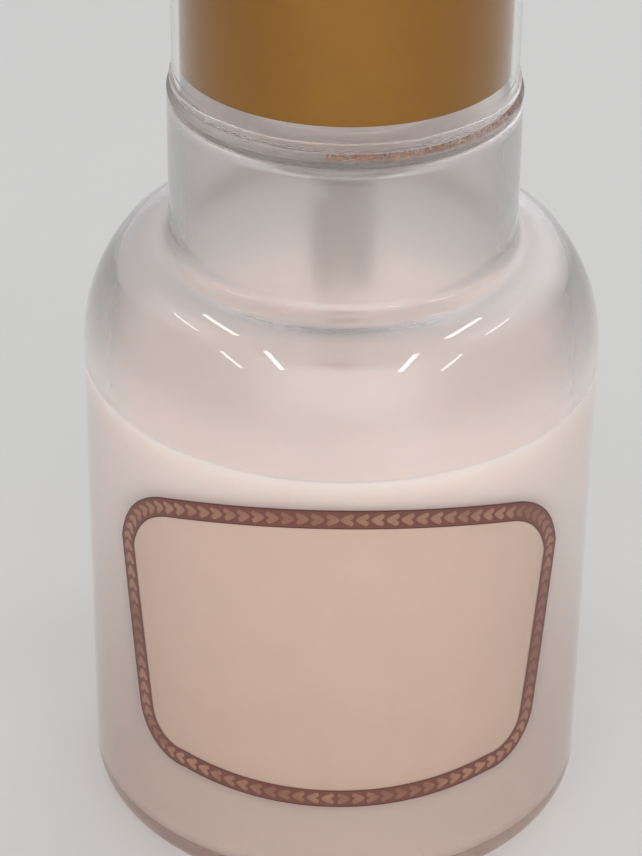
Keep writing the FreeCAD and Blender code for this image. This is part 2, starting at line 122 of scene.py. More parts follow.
class BottleSizes(bpy.types.PropertyGroup):
    """Sizes of the blown bottle and what is in it."""

    segments: IntProperty(
        name="Segments", description="Facets round every turned piece", default=192, min=48, max=384
    )
    body_radius: length("Body radius", "Outside of the body", high("bottle", 0))
    wall: length("Wall", "Thickness of the body wall", 2.6 * MM)
    base: length("Base", "Thickness of the base", 3.0 * MM)
    heel: length("Heel", "Round where the body meets the base", 4.4 * MM)
    inner_heel: length("Inner heel", "Round inside at the base", 2.6 * MM)
    push_up_radius: length("Push-up radius", "Reach of the hollow under the base", 23.0 * MM)
    push_up: length("Push-up", "Depth of the hollow under the base", 1.5 * MM)
    shoulder_height: length("Shoulder height", "Where the straight body ends", 66.2 * MM)
    shoulder_rise: length("Shoulder rise", "From the straight body to the shoulder's crown", 15.0 * MM)
    shoulder_roundness: FloatProperty(
        name="Shoulder roundness",
        description="Crown radius over the shoulder's reach",
        default=0.72,
        min=0.3,
        max=0.95,
        subtype="FACTOR",
    )
    neck_radius: length("Neck radius", "Outside of the wide neck", 21.6 * MM)
    neck_wall: length("Neck wall", "Thickness of the neck", 2.2 * MM)
    neck_fillet: length("Neck fillet", "Round between shoulder and neck", 1.0 * MM)
    neck_height: length("Neck height", "Top of the wide neck", 101.4 * MM)
    lip: length("Lip round", "Round on the neck's top edge", 0.8 * MM)
    deck: length("Deck", "Thickness of the deck inside the neck's top", 2.4 * MM)
    deck_fillet: length("Deck fillet", "Round under the deck", 1.5 * MM)
    finish_radius: length("Finish radius", "Outside of the threaded finish", 14.9 * MM)
    finish_bore: length("Finish bore", "Inside radius of the finish", 12.7 * MM)
    thread_depth: length("Thread depth", "Height of the thread's crest", 1.1 * MM)
    thread_pitch: length("Thread pitch", "Rise of the thread in one turn", 4.0 * MM)
    thread_turns: FloatProperty(name="Thread turns", description="Turns of thread", default=1.25, min=0.5)
    thread_root: length("Thread root", "Width of the thread at its root", 2.2 * MM)
    thread_crest: length("Thread crest", "Width of the thread at its crest", 1.2 * MM)
    thread_drop: length("Thread drop", "From the finish's top to the thread's upper end", 3.0 * MM)
    thread_sink: length("Thread sink", "How far the ridge reaches into the finish", 0.5 * MM)
    fill_height: length("Fill height", "Level of the essence", high("essence_fill", 2))
    meniscus: length("Meniscus", "Climb of the essence up the wall", 0.35 * MM)
    wetting: length("Wetting", "Depth that the essence is drawn into the wall", 0.15 * MM)
    residue: length("Residue", "Half width of the dried line in the seam", 0.27 * MM)
    residue_inset: length("Residue inset", "Middle of the dried line to the neck's outside", 0.36 * MM)
    residue_drop: length("Residue drop", "Middle of the dried line to the neck's top", 0.34 * MM)
    residue_start: FloatProperty(
        name="Residue start",
        description="Where the dried line starts, from the front",
        default=math.radians(-6),
        subtype="ANGLE",
    )
    residue_span: FloatProperty(
        name="Residue span",
        description="How far round the dried line runs",
        default=math.radians(84),
        subtype="ANGLE",
    )


class LabelSizes(bpy.types.PropertyGroup):
    """Sizes of the two film labels, along the film and up the body."""

    film: length("Film", "Thickness of the film", 0.1 * MM)
    adhesive: length("Adhesive", "Film of glue under it", 0.03 * MM)
    base_height: length("Base height", "Lowest point, at the middle", 15.8 * MM)
    base_sag: length("Base sag", "Rise of the foot from the middle to its corners", 1.2 * MM)
    base_corner: length("Base corner", "Reach of the lower corners", 8.2 * MM)
    top_height: length("Top height", "Highest point, at the middle", 60.3 * MM)
    top_sag: length("Top sag", "Fall of the arch from the middle to its corners", 3.5 * MM)
    top_corner: length("Top corner", "Reach of the upper corners", 8.9 * MM)
    half_width: length("Half width", "Middle to the widest place", 31.9 * MM)
    side_top: length("Side top", "Upper end of the straight sides", 47.2 * MM)
    side_base: length("Side base", "Lower end of the straight sides", 23.6 * MM)
    side_lean: length("Side lean", "How far the sides close in towards the foot", 3.2 * MM)
    border: length("Border", "Width of the printed border", 2.6 * MM)
    motif: length("Motif", "Length of one leaf of the border", 1.85 * MM)
    back_half_width: length("Back half width", "Middle of the back label to its side", 23.0 * MM)
    back_corner: length("Back corner", "Round of the back label's corners", 4.0 * MM)


class PumpSizes(bpy.types.PropertyGroup):
    """Sizes of the collar, the overcap and the return spring."""

    sleeve_wall: length("Sleeve wall", "Sheet of the gold collar", 0.5 * MM)
    sleeve_round: length("Sleeve round", "Round on the collar's top edge", 1.6 * MM)
    sleeve_hole: length("Sleeve hole", "Radius of the hole in the collar's top", 9.0 * MM)
    overcap_wall: length("Overcap wall", "Wall of the clear overcap", 0.95 * MM)
    overcap_roof: length("Overcap roof", "Roof of the clear overcap", 1.4 * MM)
    overcap_round: length("Overcap round", "Round on the overcap's top edge", 3.0 * MM)
    rim_height: length("Rim height", "Height of the overcap's bead", 0.9 * MM)
    rim_step: length("Rim step", "How far the bead stands out", 0.3 * MM)
    rim_round: length("Rim round", "Round under the bead", 0.3 * MM)
    spring_wire: length("Spring wire", "Diameter of the spring's wire", 0.9 * MM)
    spring_radius: length("Spring radius", "Middle of the wire to the axis", 5.2 * MM)
    spring_turns: FloatProperty(name="Spring turns", description="Turns of wire", default=6.5, min=1.0)


class BottleColours(bpy.types.PropertyGroup):
    """Colours of the finishes, linear."""

    clear: colour("Clear plastic", "Tint of the bottle", (0.965, 0.955, 0.960))
    mist: colour("Mist", "Tint of the misted inside by the essence", (0.910, 0.850, 0.830))
    shoulder_mist: colour("Shoulder mist", "Tint of the misted inside up the shoulder", (0.700, 0.645, 0.625))
    matte: colour("Matte edge", "Tint of the matte edges", (0.985, 0.920, 0.900))
    overcap: colour("Overcap", "Tint of the overcap", (0.990, 0.985, 0.982))
    essence: colour("Essence", "Milky pink essence", (0.768, 0.685, 0.640))
    # Painted shade: the essence is drawn darker towards the base.
    essence_base_shade: colour("Essence base shade", "Painted shade on the essence towards the base", (0.560, 0.450, 0.400))
    panel: colour("Label panel", "Peach film", (0.800, 0.585, 0.470))
    border: colour("Border", "Red-brown ground of the border", (0.165, 0.060, 0.045))
    border_line: colour("Border line", "Dark lines that edge the border", (0.085, 0.030, 0.024))
    leaf: colour("Leaf", "Tan leaves of the border", (0.340, 0.178, 0.122))
    back: colour("Back label", "Plain film on the back", (0.830, 0.780, 0.750))
    gold: colour("Gold", "Satin anodised collar", (0.365, 0.168, 0.018))
    white: colour("White plastic", "Moulded pump pieces", (0.790, 0.785, 0.770))
    natural: colour("Natural plastic", "Undyed pump housing and tube", (0.900, 0.880, 0.870))
    tube: colour("Dip tube", "Clear dip tube", (0.993, 0.987, 0.982))
    seal: colour("Seal", "Soft sealing rings", (0.620, 0.620, 0.600))
    steel: colour("Steel", "Spring wire and valve ball", (0.560, 0.570, 0.580))
    residue: colour("Residue", "Dried essence at the seam", (0.350, 0.185, 0.110))
    floor: colour("Floor", "Plain pale floor", (0.705, 0.712, 0.715))
    backdrop: colour("Backdrop", "Pale backdrop past the floor", (0.690, 0.685, 0.715))


def lay_profile(bm, start, *steps):
    """Wire in the XZ plane: a step is a point, or an arc's centre with its turn in degrees."""
    pen = bm.verts.new((start[0], 0.0, start[1]))
    for step in steps:
        if len(step) == 2:
            there = bm.verts.new((step[0], 0.0, step[1]))
            bm.edges.new((pen, there))
            pen = there
        else:
            r, z, turn = step
            arc = bmesh.ops.spin(
                bm,
                geom=[pen],
                cent=(r, 0.0, z),
                axis=(0.0, 1.0, 0.0),
                angle=-math.radians(turn),
                steps=max(2, math.ceil(abs(turn) / ARC_STEP)),
            )
            pen = arc["geom_last"][0]
    return pen


def sweep(bm, section, angle, steps, rise=0.0, use_merge=False):
    """Spin a section round the bottle's axis, with an even rise where it winds."""
    bmesh.ops.spin(
        bm,
        geom=section,
        cent=(0.0, 0.0, 0.0),
        axis=(0.0, 0.0, 1.0),
        dvec=(0.0, 0.0, rise / steps),
        angle=angle,
        steps=steps,
        use_merge=use_merge,
    )


def turn_profile(bm, segments):
    """Spin everything laid so far once round the bottle's axis."""
    bmesh.ops.remove_doubles(bm, verts=bm.verts[:], dist=MERGE)
    sweep(bm, bm.verts[:] + bm.edges[:], math.tau, segments, use_merge=True)
    bmesh.ops.remove_doubles(bm, verts=bm.verts[:], dist=MERGE)
    bmesh.ops.recalc_face_normals(bm, faces=bm.faces[:])


def upright_circle(bm, segments, radius):
    """Circle in the XZ plane, the section of a wire."""
    bmesh.ops.create_circle(bm, cap_ends=False, segments=segments, radius=radius)
    upright = Matrix.Rotation(math.pi / 2, 3, "X")
    bmesh.ops.rotate(bm, verts=bm.verts[:], cent=(0, 0, 0), matrix=upright)


def close_ends(bm):
    """Cap the open ends of a swept wire and face it outwards."""
    bmesh.ops.holes_fill(bm, edges=[edge for edge in bm.edges if edge.is_boundary], sides=0)
    bmesh.ops.recalc_face_normals(bm, faces=bm.faces[:])


def finish_piece(bm, name, body, materials, replaced=(), crease=35.0):
    """Turn a bmesh into a named piece that rides on a CAD body."""
    mesh = bpy.data.meshes.new(name)
    bm.to_mesh(mesh)
    bm.free()
    mesh.shade_smooth()
    mesh.set_sharp_from_angle(angle=math.radians(crease))
    for material in materials:
        mesh.materials.append(material)
    piece = bpy.data.objects.new(name, mesh)
    bpy.context.scene.collection.objects.link(piece)
    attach(piece, body)
    if replaced:
        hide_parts(*replaced)
    return piece


def fresh_material(name):
    """Empty node material with its output and Principled shader."""
    material = bpy.data.materials.new(name)
    material.use_nodes = True
    tree = material.node_tree
    tree.nodes.clear()
    output = tree.nodes.new("ShaderNodeOutputMaterial")
    output.location = (600, 0)
    shader = tree.nodes.new("ShaderNodeBsdfPrincipled")
    shader.location = (200, 0)
    tree.links.new(shader.outputs["BSDF"], output.inputs["Surface"])
    return material, tree, shader


def dial(node, values):
    """Set plain values on a node's own sockets."""
    for label, value in values.items():
        node.inputs[label].default_value = value


def feed(tree, value, socket):
    """Link a socket, or set a plain value."""
    if isinstance(value, bpy.types.NodeSocket):
        tree.links.new(value, socket)
    else:
        socket.default_value = value


def calc(tree, operation, *values):
    """Math node on numbers or sockets."""
    node = tree.nodes.new("ShaderNodeMath")
    node.operation = operation
    for value, socket in zip(values, node.inputs):
        feed(tree, value, socket)
    return node.outputs["Value"]


def rgba(value):
    """A colour socket as it is, or a plain colour with full alpha."""
    return value if isinstance(value, bpy.types.NodeSocket) else (*value, 1.0)


def blend_colour(tree, factor, first, second):
    """Mix of two colours by a factor."""
    node = tree.nodes.new("ShaderNodeMix")
    node.data_type = "RGBA"
    feed(tree, factor, node.inputs["Factor"])
    feed(tree, rgba(first), node.inputs["A"])
    feed(tree, rgba(second), node.inputs["B"])
    return node.outputs["Result"]


def paint(tree, shader, factor, first, second):
    """Colour a shader with a mix of two colours."""
    tree.links.new(blend_colour(tree, factor, first, second), shader.inputs["Base Color"])


def deepen(tint, *shares):
    """A darker tint: one share of every channel, or a share for each."""
    if len(shares) == 1:
        shares = shares * 3
    return tuple(share * value for share, value in zip(shares, tint))


def ramp(tree, value, low_end, high_end, low_out=0.0, high_out=1.0):
    """Smooth step of a value between two ends."""
    node = tree.nodes.new("ShaderNodeMapRange")
    node.interpolation_type = "SMOOTHSTEP"
    feed(tree, value, node.inputs["Value"])
    dial(node, {"From Min": low_end, "From Max": high_end, "To Min": low_out, "To Max": high_out})
    return node.outputs["Result"]


def noise(tree, place, scale, detail=2.0, stretch=None):
    """Noise on Object coordinates, optionally stretched."""
    if stretch:
        mapping = tree.nodes.new("ShaderNodeMapping")
        mapping.inputs["Scale"].default_value = stretch
        tree.links.new(place, mapping.inputs["Vector"])
        place = mapping.outputs["Vector"]
    node = tree.nodes.new("ShaderNodeTexNoise")
    dial(node, {"Scale": scale, "Detail": detail})
    tree.links.new(place, node.inputs["Vector"])
    return node.outputs["Fac"]


def object_place(tree):
    """Object coordinates of the piece."""
    return tree.nodes.new("ShaderNodeTexCoord").outputs["Object"]


def height_of(tree, place):
    """Height along the bottle's axis."""
    split = tree.nodes.new("ShaderNodeSeparateXYZ")
    tree.links.new(place, split.inputs["Vector"])
    return split.outputs["Z"]


def new_group(name, inputs, outputs):
    """Shader node group with float inputs (name, default) and typed outputs (name, type)."""
    group = bpy.data.node_groups.new(name, "ShaderNodeTree")
    for label, default in inputs:
        socket = group.interface.new_socket(name=label, in_out="INPUT", socket_type="NodeSocketFloat")
        socket.default_value = default
    for label, kind in outputs:
        group.interface.new_socket(name=label, in_out="OUTPUT", socket_type=kind)
    return group, group.nodes.new("NodeGroupInput"), group.nodes.new("NodeGroupOutput")


def moulding_group():
    """Slow waves and fine grain of a moulded surface, with rubbed patches for its gloss."""
    name = "moulded surface"
    if name in bpy.data.node_groups:
        return bpy.data.node_groups[name]
    group, start, end = new_group(
        name,
        [("Waves", 1.0), ("Grain", 0.1), ("Gloss", 0.1), ("Rubbing", 0.05)],
        [("Height", "NodeSocketFloat"), ("Roughness", "NodeSocketFloat")],
    )
    place = object_place(group)
    waves = noise(group, place, scale=55.0, detail=2.0, stretch=(1.0, 1.0, 0.6))
    grain = noise(group, place, scale=2400.0, detail=3.0)
    height = calc(group, "MULTIPLY", waves, start.outputs["Waves"])
    height = calc(group, "MULTIPLY_ADD", grain, start.outputs["Grain"], height)
    rubbed = ramp(group, noise(group, place, scale=160.0, detail=5.0), 0.5, 0.75)
    rough = calc(group, "MULTIPLY_ADD", rubbed, start.outputs["Rubbing"], start.outputs["Gloss"])
    group.links.new(height, end.inputs["Height"])
    group.links.new(rough, end.inputs["Roughness"])
    return group


def mould_surface(tree, shader, waves, grain, gloss, rubbing, depth):
    """Give a shader the moulded surface: bump of a depth in metres, and gloss that varies where rubbed."""
    node = tree.nodes.new("ShaderNodeGroup")
    node.node_tree = moulding_group()
    node.location = (-300, -200)
    dial(node, {"Waves": waves, "Grain": grain, "Gloss": gloss, "Rubbing": rubbing})
    bump = tree.nodes.new("ShaderNodeBump")
    dial(bump, {"Distance": depth, "Strength": 1.0})
    tree.links.new(node.outputs["Height"], bump.inputs["Height"])
    tree.links.new(bump.outputs["Normal"], shader.inputs["Normal"])
    if rubbing:
        tree.links.new(node.outputs["Roughness"], shader.inputs["Roughness"])
    else:
        dial(shader, {"Roughness": gloss})


def let_lamps_through(tree, shader, tint):
    """Shadow rays pass straight through a clear or cloudy piece, tinted."""
    path = tree.nodes.new("ShaderNodeLightPath")
    passing = tree.nodes.new("ShaderNodeBsdfTransparent")
    passing.inputs["Color"].default_value = (*tint, 1.0)
    mix = tree.nodes.new("ShaderNodeMixShader")
    tree.links.new(path.outputs["Is Shadow Ray"], mix.inputs["Fac"])
    tree.links.new(shader.outputs["BSDF"], mix.inputs[1])
    tree.links.new(passing.outputs["BSDF"], mix.inputs[2])
    tree.links.new(mix.outputs["Shader"], tree.get_output_node("ALL").inputs["Surface"])


def clear_plastic(name, tint, index, waves, gloss, rubbing):
    """Clear moulded plastic with slow waves in its surface."""
    if name in bpy.data.materials:
        return bpy.data.materials[name]
    material, tree, shader = fresh_material(name)
    dial(shader, {"Base Color": rgba(tint)})
    clear_surface(tree, shader, index, waves, gloss, rubbing)
    return material


def misted_plastic(name, plain_tint, shoulder_tint, rising, falling, index, gloss):
    """Misted inside of the bottle: its tint darkens over one span of heights and eases back over another.
    """
    material, tree, shader = fresh_material(name)
    height = height_of(tree, object_place(tree))
    # The tint turns darker up the shoulder and eases back towards the neck.
    darkening = ramp(tree, height, *rising)
    easing = ramp(tree, height, *falling, 0.0, 0.5)
    factor = calc(tree, "SUBTRACT", darkening, easing)
    paint(tree, shader, factor, plain_tint, shoulder_tint)
    clear_surface(tree, shader, index, waves=0.1, gloss=gloss, rubbing=0.0)
    return material


def clear_surface(tree, shader, index, waves, gloss, rubbing):
    """Set a shader's transmission, its moulded surface and its shadow rays."""
    dial(shader, {"Transmission Weight": 1.0, "IOR": index})
    mould_surface(tree, shader, waves, 0.0, gloss, rubbing, depth=0.10 * MM)
    let_lamps_through(tree, shader, CLEAR_SHADOW)


def moulded_plastic(name, tint, roughness, see_through=0.0):
    """Dyed or natural moulded plastic with faint colour drift."""
    if name in bpy.data.materials:
        return bpy.data.materials[name]
    material, tree, shader = fresh_material(name)
    place = object_place(tree)
    drift = noise(tree, place, scale=90.0, detail=3.0)
    paint(tree, shader, ramp(tree, drift, 0.3, 0.75), tint, deepen(tint, 0.9))
    dial(shader, {"Transmission Weight": see_through, "IOR": 1.49})
    mould_surface(tree, shader, waves=0.4, grain=0.08, gloss=roughness, rubbing=0.12, depth=0.3 * MM)
    return material


def satin_gold(name, tint):
    """Anodised gold sheet: fine turned lines, slight colour drift and finger-dulled patches."""
    if name in bpy.data.materials:
        return bpy.data.materials[name]
    material, tree, shader = fresh_material(name)
    place = object_place(tree)
    drift = ramp(tree, noise(tree, place, scale=40.0, detail=3.0), 0.3, 0.7)
    paint(tree, shader, drift, tint, deepen(tint, 0.9, 0.86, 0.8))
    shader.inputs["Metallic"].default_value = 1.0
    lines = noise(tree, place, scale=60.0, detail=4.0, stretch=(1.0, 1.0, 160.0))
    dulled = ramp(tree, noise(tree, place, scale=70.0, detail=4.0), 0.45, 0.75)
    rough = calc(tree, "MULTIPLY_ADD", dulled, 0.10, 0.36)
    rough = calc(tree, "MULTIPLY_ADD", lines, 0.08, rough)
    tree.links.new(rough, shader.inputs["Roughness"])
    bump = tree.nodes.new("ShaderNodeBump")
    bump.inputs["Distance"].default_value = 0.003 * MM
    tree.links.new(lines, bump.inputs["Height"])
    tree.links.new(bump.outputs["Normal"], shader.inputs["Normal"])
    return material


def bright_steel(name, tint):
    """Drawn steel wire and ground ball."""
    if name in bpy.data.materials:
        return bpy.data.materials[name]
    material, tree, shader = fresh_material(name)
    place = object_place(tree)
    shader.inputs["Metallic"].default_value = 1.0
    drawn = noise(tree, place, scale=900.0, detail=3.0)
    paint(tree, shader, drawn, tint, deepen(tint, 0.8))
    tree.links.new(calc(tree, "MULTIPLY_ADD", drawn, 0.2, 0.15), shader.inputs["Roughness"])
    return material


def milky_essence(name, near, base_shade, level):
    """Milky essence, darkened towards the base by painted shade, with faint clouding."""
    material, tree, shader = fresh_material(name)
    place = object_place(tree)
    cloud = noise(tree, place, scale=45.0, detail=3.0)
    height = calc(tree, "MULTIPLY_ADD", cloud, CLOUD_REACH, height_of(tree, place))
    # Painted shade: from near the fill level down to the base the colour turns darker.
    factor = ramp(tree, height, FULL_SHADE_LEVEL, level * 0.95, 1.0, 0.0)
    paint(tree, shader, factor, near, base_shade)
    dial(shader, {"Roughness": 0.08, "IOR": 1.35, "Specular IOR Level": 0.35})
    dial(shader, {"Subsurface Weight": 0.8, "Subsurface Radius": (1.0, 0.75, 0.65)})
    dial(shader, {"Subsurface Scale": 6.0 * MM})
    let_lamps_through(tree, shader, CLOUDY_SHADOW)
    return material


def printed_film(name, tint, cover):
    """See-through label film with a faint mottle in its print."""
    material, tree, shader = fresh_material(name)
    place = object_place(tree)
    mottle = ramp(tree, noise(tree, place, scale=120.0, detail=4.0), 0.3, 0.7)
    paint(tree, shader, mottle, tint, deepen(tint, 0.97))
    dial(shader, {"Alpha": cover, "IOR": FILM_INDEX})
    mould_surface(tree, shader, waves=0.15, grain=0.02, gloss=0.3, rubbing=0.08, depth=0.1 * MM)
    return material


def leaf_border(name, ground, line, leaf, motifs):
    """Chain of small leaves along the border, between two dark lines, on the label's own UV map."""
    material, tree, shader = fresh_material(name)
    chart = tree.nodes.new("ShaderNodeUVMap")
    chart.uv_map = "border"
    split = tree.nodes.new("ShaderNodeSeparateXYZ")
    tree.links.new(chart.outputs["UV"], split.inputs["Vector"])
    along = calc(tree, "FRACT", calc(tree, "MULTIPLY", split.outputs["X"], motifs))
    across = calc(tree, "ABSOLUTE", calc(tree, "MULTIPLY_ADD", split.outputs["Y"], 2.0, -1.0))
    taper = calc(tree, "MULTIPLY", calc(tree, "POWER", calc(tree, "SUBTRACT", 0.98, along), 0.55), 0.86)
    inside = ramp(tree, calc(tree, "SUBTRACT", taper, across), 0.0, 0.10)
    lobe = calc(tree, "ABSOLUTE", calc(tree, "SUBTRACT", across, 0.38))
    cleft = calc(tree, "MULTIPLY_ADD", calc(tree, "MULTIPLY", lobe, lobe), 1.7, 0.08)
    behind = ramp(tree, calc(tree, "SUBTRACT", along, cleft), 0.0, 0.08)
    mask = calc(tree, "MULTIPLY", inside, behind)
    wear = ramp(tree, noise(tree, object_place(tree), scale=120.0, detail=4.0), 0.35, 0.65, 0.35, 1.0)
    mask = calc(tree, "MULTIPLY", mask, wear)
    edge = ramp(tree, across, 0.84, 0.92)
    tone = blend_colour(tree, mask, ground, leaf)
    tone = blend_colour(tree, edge, tone, line)
    tree.links.new(tone, shader.inputs["Base Color"])
    tree.links.new(calc(tree, "MULTIPLY_ADD", mask, 0.12, 0.34), shader.inputs["Roughness"])
    dial(shader, {"IOR": FILM_INDEX})
    return material


def dried_residue(name, tint):
    """Speckled brown crust of dried essence."""
    material, tree, shader = fresh_material(name)
    place = object_place(tree)
    speck = noise(tree, place, scale=700.0, detail=4.0)
    paint(tree, shader, ramp(tree, speck, 0.35, 0.65), tint, deepen(tint, 0.55))
    grains = noise(tree, place, scale=2600.0, detail=5.0)
    tree.links.new(ramp(tree, grains, 0.38, 0.66), shader.inputs["Alpha"])
    shader.inputs["Roughness"].default_value = 0.6
    return material


def oval_arcs(centre_r, centre_z, across, up, roundness):
    """Centres and turns of the two arcs that make the shoulder, from its flank to its crown."""
    crown = roundness * across
    flank = (across**2 + up**2 - 2 * up * crown) / (2 * (across - crown))
    lean = math.degrees(math.atan2(up - crown, flank - across))
    return (centre_r + across - flank, centre_z, lean), (centre_r, centre_z + up - crown, 90.0 - lean)


def wind_thread(bm, sizes, finish_top):
    """Wind the closure's thread round the finish, sunk a little into it."""
    middle = finish_top - sizes.thread_drop - sizes.thread_pitch * sizes.thread_turns
    sunk = sizes.finish_radius - sizes.thread_sink
    crest = sizes.finish_radius + sizes.thread_depth
    half_root = sizes.thread_root / 2
    half_crest = sizes.thread_crest / 2
    steps = round(sizes.thread_turns * sizes.segments)
    made = set(bm.verts)
    lay_profile(
        bm,
        (sunk, middle - half_root),
        (sizes.finish_radius, middle - half_root),
        (crest, middle - half_crest),
        (crest, middle + half_crest),
        (sizes.finish_radius, middle + half_root),
        (sunk, middle + half_root),
        (sunk, middle - half_root),
    )
    section = [vert for vert in bm.verts if vert not in made]
    bmesh.ops.remove_doubles(bm, verts=section, dist=MERGE)
    section = [vert for vert in bm.verts if vert not in made]
    section += [edge for edge in bm.edges if edge.verts[0] not in made]
    sweep(bm, section, math.tau * sizes.thread_turns, steps, sizes.thread_pitch * sizes.thread_turns)
    ends = [edge for edge in bm.edges if edge.is_boundary]
    bmesh.ops.holes_fill(bm, edges=ends, sides=0)
    bmesh.ops.recalc_face_normals(bm, faces=[face for face in bm.faces if face.verts[0] not in made])


class BOTTLE_OT_blow(bpy.types.Operator):
    """Blow the clear bottle: body, shoulder, wide neck and threaded finish"""

    bl_idname = "pump_bottle.blow_bottle"
    bl_label = "Blow the bottle"

    def execute(self, context):
        sizes = context.scene.bottle_sizes
        tints = context.scene.bottle_colours
        bm = bmesh.new()
        dome = (sizes.push_up_radius**2 + sizes.push_up**2) / (2 * sizes.push_up)
        dome_turn = math.degrees(math.asin(sizes.push_up_radius / dome))
        foot = sizes.body_radius - sizes.heel
        neck_edge = sizes.neck_radius + sizes.neck_fillet
        flank, crown = oval_arcs(
            neck_edge,
            sizes.shoulder_height,
            sizes.body_radius - neck_edge,
            sizes.shoulder_rise,
            sizes.shoulder_roundness,
        )
        crown_height = sizes.shoulder_height + sizes.shoulder_rise
        finish_top = high("bottle", 2)
        chamfer = 0.5 * MM
        ceiling = sizes.neck_height - sizes.deck
        neck_in = sizes.neck_radius - sizes.neck_wall
        body_in = sizes.body_radius - sizes.wall
        bend = sizes.neck_fillet + sizes.wall
        rise_in = sizes.shoulder_rise - sizes.wall
        crown_in = sizes.shoulder_height + rise_in
        flank_in, crest_in = oval_arcs(
            neck_in + bend,
            sizes.shoulder_height,
            body_in - neck_in - bend,
            rise_in,
            sizes.shoulder_roundness,
        )
        heel_in = sizes.base + sizes.inner_heel
        lay_profile(
            bm,
            (0.0, sizes.push_up),
            (0.0, sizes.push_up - dome, -dome_turn),
            (foot, 0.0),
            (foot, sizes.heel, 90.0),
            (sizes.body_radius, sizes.shoulder_height),
            flank,
            crown,
            (neck_edge, crown_height + sizes.neck_fillet, -90.0),
            (sizes.neck_radius, sizes.neck_height - sizes.lip),
            (sizes.neck_radius - sizes.lip, sizes.neck_height - sizes.lip, 90.0),
            (sizes.finish_radius, sizes.neck_height),
            (sizes.finish_radius, finish_top - chamfer),
            (sizes.finish_radius - chamfer, finish_top),
            (sizes.finish_bore, finish_top),
            (sizes.finish_bore, ceiling),
            (neck_in - sizes.deck_fillet, ceiling),
            (neck_in - sizes.deck_fillet, ceiling - sizes.deck_fillet, -90.0),
            (neck_in, crown_in + bend),
            (neck_in + bend, crown_in + bend, 90.0),
            (crest_in[0], crest_in[1], -crest_in[2]),
            (flank_in[0], flank_in[1], -flank_in[2]),
            (body_in, sizes.fill_height),
            (body_in, heel_in),
            (body_in - sizes.inner_heel, heel_in, -90.0),
            (0.0, sizes.base),
        )
        turn_profile(bm, sizes.segments)
        wind_thread(bm, sizes, finish_top)
        for face in bm.faces:
            centre = face.calc_center_median()
            inwards = face.normal.xy.dot(centre.xy) < 0.0 or face.normal.z < -0.5
            if inwards and sizes.fill_height < centre.z < sizes.neck_height:
                face.material_index = 1
            on_deck = centre.z > ceiling - TOUCH and centre.xy.length < sizes.neck_radius - sizes.lip
            if on_deck or centre.z > sizes.neck_height - sizes.lip or centre.z < sizes.push_up:
                face.material_index = 2
        clear = clear_plastic(
            "clear bottle plastic", tints.clear, BOTTLE_INDEX, waves=0.05, gloss=0.015, rubbing=0.0
        )
        misted = misted_plastic(
            "misted inside",
            tints.mist,
            tints.shoulder_mist,
            (sizes.shoulder_height, sizes.shoulder_height + rise_in / 2),
            (crown_in, crown_in + bend),
            BOTTLE_INDEX,
            gloss=0.30,
        )
        matte = clear_plastic("matte deck", tints.matte, BOTTLE_INDEX, waves=0.1, gloss=0.7, rubbing=0.1)
        finish_piece(bm, "blown_bottle", "bottle", [clear, misted, matte], ["bottle"])
        return {"FINISHED"}


class BOTTLE_OT_fill(bpy.types.Operator):
    """Fill the bottle with essence, with a meniscus at the wall and a well for the dip tube"""

    bl_idname = "pump_bottle.fill_essence"
    bl_label = "Fill with essence"

    def execute(self, context):
        sizes = context.scene.bottle_sizes
        tints = context.scene.bottle_colours
        bm = bmesh.new()
        wall = sizes.body_radius - sizes.wall + sizes.wetting
        base = sizes.base - sizes.wetting
        heel = sizes.inner_heel + sizes.wetting
        well = high("dip_tube", 0) + 0.3 * MM
        well_floor = low("dip_tube", 2) - 0.5 * MM
        climb = sizes.meniscus * 1.3
        lay_profile(
            bm,
            (0.0, base),
            (wall - heel, base),
            (wall - heel, base + heel, 90.0),
            (wall, sizes.fill_height + climb),
            (wall - climb, sizes.fill_height + climb, -90.0),
            (well, sizes.fill_height),
            (well, well_floor),
            (0.0, well_floor),
        )
        turn_profile(bm, sizes.segments)
        material = milky_essence("milky essence", tints.essence, tints.essence_base_shade, sizes.fill_height)
        finish_piece(bm, "milky_essence", "bottle", [material], ["essence_fill"])
        return {"FINISHED"}


def arc_points(start, via, end, count):
    """Points from just after start to end, on the circle through the three places."""
    (ax, az), (bx, bz), (cx, cz) = start, via, end
    spread = 2 * (ax * (bz - cz) + bx * (cz - az) + cx * (az - bz))
    a2, b2, c2 = ax**2 + az**2, bx**2 + bz**2, cx**2 + cz**2
    ox = (a2 * (bz - cz) + b2 * (cz - az) + c2 * (az - bz)) / spread
    oz = (a2 * (cx - bx) + b2 * (ax - cx) + c2 * (bx - ax)) / spread
    first = math.atan2(az - oz, ax - ox)
    turn = math.atan2(cz - oz, cx - ox) - first
    turn = (turn + math.pi) % math.tau - math.pi
    radius = math.hypot(ax - ox, az - oz)
    return [
        (ox + radius * math.cos(first + turn * i / count), oz + radius * math.sin(first + turn * i / count))
        for i in range(1, count + 1)
    ]


def bend_film(bm, radius, side):
    """Bend a flat film, drawn along X and up Z, round the body on the side of -Y or +Y."""
    for vert in bm.verts:
        angle = vert.co.x / radius
        vert.co = Vector((radius * math.sin(angle), side * radius * math.cos(angle), vert.co.z))


def slice_film(bm, reach, width):
    """Cut a flat film into narrow upright strips so that it can bend."""
    count = math.ceil(2 * reach / width)
    for i in range(1, count):
        bmesh.ops.bisect_plane(
            bm,
            geom=bm.verts[:] + bm.edges[:] + bm.faces[:],
            plane_co=(-reach + 2 * reach * i / count, 0.0, 0.0),
            plane_no=(1.0, 0.0, 0.0),
            dist=1e-8,
        )


